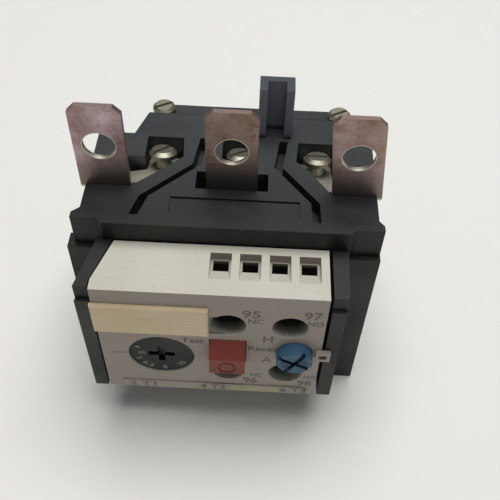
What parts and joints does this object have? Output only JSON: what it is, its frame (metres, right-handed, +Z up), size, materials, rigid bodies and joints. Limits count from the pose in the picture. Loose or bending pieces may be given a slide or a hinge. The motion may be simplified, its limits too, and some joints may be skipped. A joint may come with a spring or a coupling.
{
  "type": "thermal overload relay",
  "caption": "Three-pole thermal overload relay with line tabs for a contactor, setting dial, test button and hand/automatic reset knob.",
  "frame": {"origin": "on the underside, midway between the sides of the lower body, 33 mm behind the front unit's face", "axes": "+X right seen from the dial side, +Y to the rear, +Z up"},
  "size_m": [0.0704, 0.06, 0.0818],
  "materials": {
    "black_plastic": "moulded, fine matt grain",
    "grey_plastic": "moulded, light grey, fine grain",
    "beige_plastic": "moulded, blank",
    "red_plastic": "moulded, satin",
    "blue_plastic": "moulded, satin",
    "mica": "pressed flakes",
    "tinned_copper": "tinned copper, lightly tarnished",
    "zinc_steel": "zinc plated",
    "spring_steel": "rolled strip",
    "brass": "plain"
  },
  "bodies": {
    "case": {"housing": "black_plastic", "back_cover": "black_plastic", "cover_screws": "zinc_steel", "front_module": "grey_plastic", "label_plate": "beige_plastic", "marking_strip": "grey_plastic", "seal_eye": "grey_plastic", "module_chassis": "grey_plastic", "line_tab_left": "tinned_copper", "line_tab_centre": "tinned_copper", "line_tab_right": "tinned_copper", "tab_screws": "zinc_steel", "bimetal_brackets": "zinc_steel", "bimetal_strips": "spring_steel", "mica_wraps": "mica", "heater_windings": "spring_steel", "load_terminals": "tinned_copper", "load_clamps": "zinc_steel", "load_screws": "zinc_steel", "trip_pin": "zinc_steel", "compensation_pin": "zinc_steel", "aux_terminals": "brass", "aux_screws": "zinc_steel", "test_spring": "spring_steel", "reset_spring": "spring_steel"},
    "dial": {"setting_dial": "grey_plastic"},
    "test": {"test_button": "red_plastic"},
    "plunger": {"reset_plunger": "grey_plastic"},
    "knob": {"reset_knob": "blue_plastic"},
    "slider": {"trip_slider": "grey_plastic"},
    "trip_lever_arm": {"trip_lever": "grey_plastic"},
    "compensation_arm": {"compensation_lever": "spring_steel"},
    "carrier": {"contact_carrier": "grey_plastic"},
    "nc_contact": {"nc_leaf": "brass"},
    "no_contact": {"no_leaf": "brass"}
  },
  "joints": [
    {"name": "dial_turn", "type": "hinge", "parent": "case", "child": "dial", "pos_m": [-0.0148, -0.031, 0.0295], "axis": [0, 1, 0], "range_deg": [-135, 135]},
    {"name": "test_press", "type": "slide", "parent": "case", "child": "test", "axis": [0, 1, 0], "range_m": [0, 0.002], "stiffness_N_per_m": 900, "springref_m": -0.001, "deforming": ["test_spring"]},
    {"name": "reset_press", "type": "slide", "parent": "case", "child": "plunger", "axis": [0, 1, 0], "range_m": [0, 0.0025], "stiffness_N_per_m": 900, "springref_m": -0.001, "deforming": ["reset_spring"]},
    {"name": "reset_select", "type": "hinge", "parent": "plunger", "child": "knob", "pos_m": [0.0162, -0.034, 0.0332], "axis": [0, 1, 0], "range_deg": [-58, 0]},
    {"name": "slider_travel", "type": "slide", "parent": "case", "child": "slider", "axis": [1, 0, 0], "range_m": [0, 0.0012]},
    {"name": "trip_lever_swing", "type": "hinge", "parent": "case", "child": "trip_lever_arm", "pos_m": [-0.0219, -0.0234, 0.02945], "axis": [0, 1, 0], "range_deg": [-7.6, 0]},
    {"name": "carrier_travel", "type": "slide", "parent": "case", "child": "carrier", "axis": [1, 0, 0], "range_m": [-0.00122, 0]},
    {"name": "nc_bend", "type": "hinge", "parent": "case", "child": "nc_contact", "pos_m": [-0.00313, -0.0234, 0.022], "axis": [0, 1, 0], "range_deg": [-4.3, 0]},
    {"name": "no_bend", "type": "hinge", "parent": "case", "child": "no_contact", "pos_m": [0.0202, -0.0234, 0.022], "axis": [0, 1, 0], "range_deg": [-4.3, 0]},
    {"name": "compensation_swing", "type": "hinge", "parent": "case", "child": "compensation_arm", "pos_m": [-0.0093, -0.0234, 0.0362], "axis": [0, 1, 0], "range_deg": [-5.4, 5.4]}
  ],
  "couplings": [
    {"joint": "trip_lever_swing", "follows": "slider_travel", "rad_per_m": -108.11},
    {"joint": "carrier_travel", "follows": "slider_travel", "ratio": -1},
    {"joint": "nc_bend", "follows": "slider_travel", "rad_per_m": -59.88},
    {"joint": "no_bend", "follows": "slider_travel", "rad_per_m": -59.88},
    {"joint": "compensation_swing", "follows": "dial_turn", "ratio": -0.03801}
  ]
}
